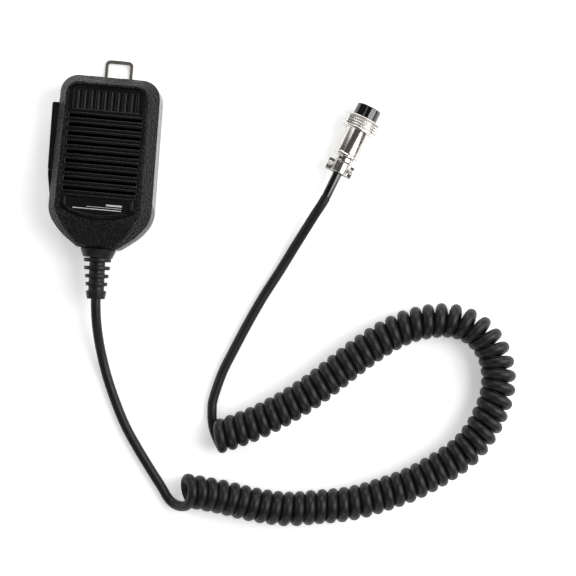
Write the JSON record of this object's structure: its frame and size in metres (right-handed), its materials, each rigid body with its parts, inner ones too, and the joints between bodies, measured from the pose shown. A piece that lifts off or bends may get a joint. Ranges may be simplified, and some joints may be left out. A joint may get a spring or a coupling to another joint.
{
  "type": "hand microphone",
  "caption": "Rectangular push-to-talk hand microphone lying on its back, with a slotted grille, hanger loop, ringed strain relief, curly cord and round screw-on plug.",
  "frame": {"origin": "on the surface it lies on, under the middle of the microphone (housing, lever, hanger loop and strain relief), cord left out", "axes": "+Z out of the microphone's face, +Y towards the hanger loop, +X to the right seen from the face"},
  "size_m": [0.2714, 0.2527, 0.0315],
  "materials": {
    "cover_grained": "pebbled moulded ABS, matte",
    "panel_matte": "fine matte moulded ABS",
    "label_gloss": "polished black plate with no lettering",
    "cover_smooth": "smooth satin ABS",
    "hanger_steel": "pressed steel strip, dull plating",
    "screw_steel": "zinc plated",
    "screw_black": "black oxide",
    "lever_plastic": "smooth satin ABS",
    "pin_steel": "ground steel",
    "spring_steel": "music wire",
    "switch_plastic": "moulded phenolic",
    "plunger_plastic": "white acetal",
    "button_plastic": "satin ABS",
    "board_green": "solder mask over glass epoxy",
    "parts_dark": "moulded component cases",
    "header_ivory": "nylon",
    "boot_rubber": "soft rubber",
    "capsule_metal": "drawn aluminium can",
    "wire_red": "PVC insulation",
    "wire_mixed": "PVC insulation",
    "cable_jacket": "semi-matte polyurethane jacket",
    "relief_rubber": "moulded PVC, semi-matte",
    "sleeve_gloss": "shrink sleeve, glossy",
    "plug_nickel": "bright nickel plate",
    "plug_phenolic": "moulded phenolic, glossy",
    "contact_brass": "plated sockets"
  },
  "bodies": {
    "housing": {"front_cover": "cover_grained", "grille_panel": "panel_matte", "label_plate": "label_gloss", "rear_cover": "cover_smooth", "hanger": "hanger_steel", "hanger_screws": "screw_steel", "case_screws": "screw_black", "ptt_pin": "pin_steel", "ptt_spring": "spring_steel", "ptt_switch": "switch_plastic", "up_switch": "switch_plastic", "down_switch": "switch_plastic", "circuit_board": "board_green", "board_screws": "screw_steel", "board_parts": "parts_dark", "wire_header": "header_ivory", "capsule_boot": "boot_rubber", "mic_capsule": "capsule_metal", "capsule_wires": "wire_red", "cord_wires": "wire_mixed", "cable_end": "cable_jacket", "cord_clip": "screw_steel", "clip_screws": "screw_steel", "strain_relief": "relief_rubber", "cord_lead": "cable_jacket", "cord_coil": "cable_jacket", "cord_tail": "cable_jacket", "plug_sleeve": "sleeve_gloss", "plug_shell": "plug_nickel", "cable_clamp": "plug_nickel", "clamp_screws": "screw_steel", "plug_insert": "plug_phenolic", "plug_contacts": "contact_brass"},
    "ptt_lever": {"ptt_lever": "lever_plastic"},
    "ptt_plunger": {"ptt_plunger": "plunger_plastic"},
    "up_button": {"up_button": "button_plastic"},
    "down_button": {"down_button": "button_plastic"},
    "coupling_ring": {"coupling_ring": "plug_nickel"}
  },
  "joints": [
    {"name": "ptt_press", "type": "hinge", "parent": "housing", "child": "ptt_lever", "pos_m": [-0.0228, 0.0058, 0.0115], "axis": [0, 0, -1], "range_deg": [0, 5], "stiffness_Nm_per_rad": 0.5, "springref_deg": -5.73, "deforming": ["ptt_spring"]},
    {"name": "plunger_slide", "type": "slide", "parent": "housing", "child": "ptt_plunger", "axis": [1, 0, 0], "range_m": [0, 0.0021]},
    {"name": "up_press", "type": "slide", "parent": "housing", "child": "up_button", "axis": [0, -1, 0], "range_m": [0, 0.0007], "stiffness_N_per_m": 1200, "springref_m": -0.0005},
    {"name": "down_press", "type": "slide", "parent": "housing", "child": "down_button", "axis": [0, -1, 0], "range_m": [0, 0.0007], "stiffness_N_per_m": 1200, "springref_m": -0.0005},
    {"name": "ring_spin", "type": "hinge", "parent": "housing", "child": "coupling_ring", "pos_m": [0.14143, 0.04253, 0.0096], "axis": [0.3551, 0.9348, 0], "continuous": true}
  ],
  "couplings": [
    {"joint": "plunger_slide", "follows": "ptt_press", "m_per_rad": 0.0239}
  ]
}
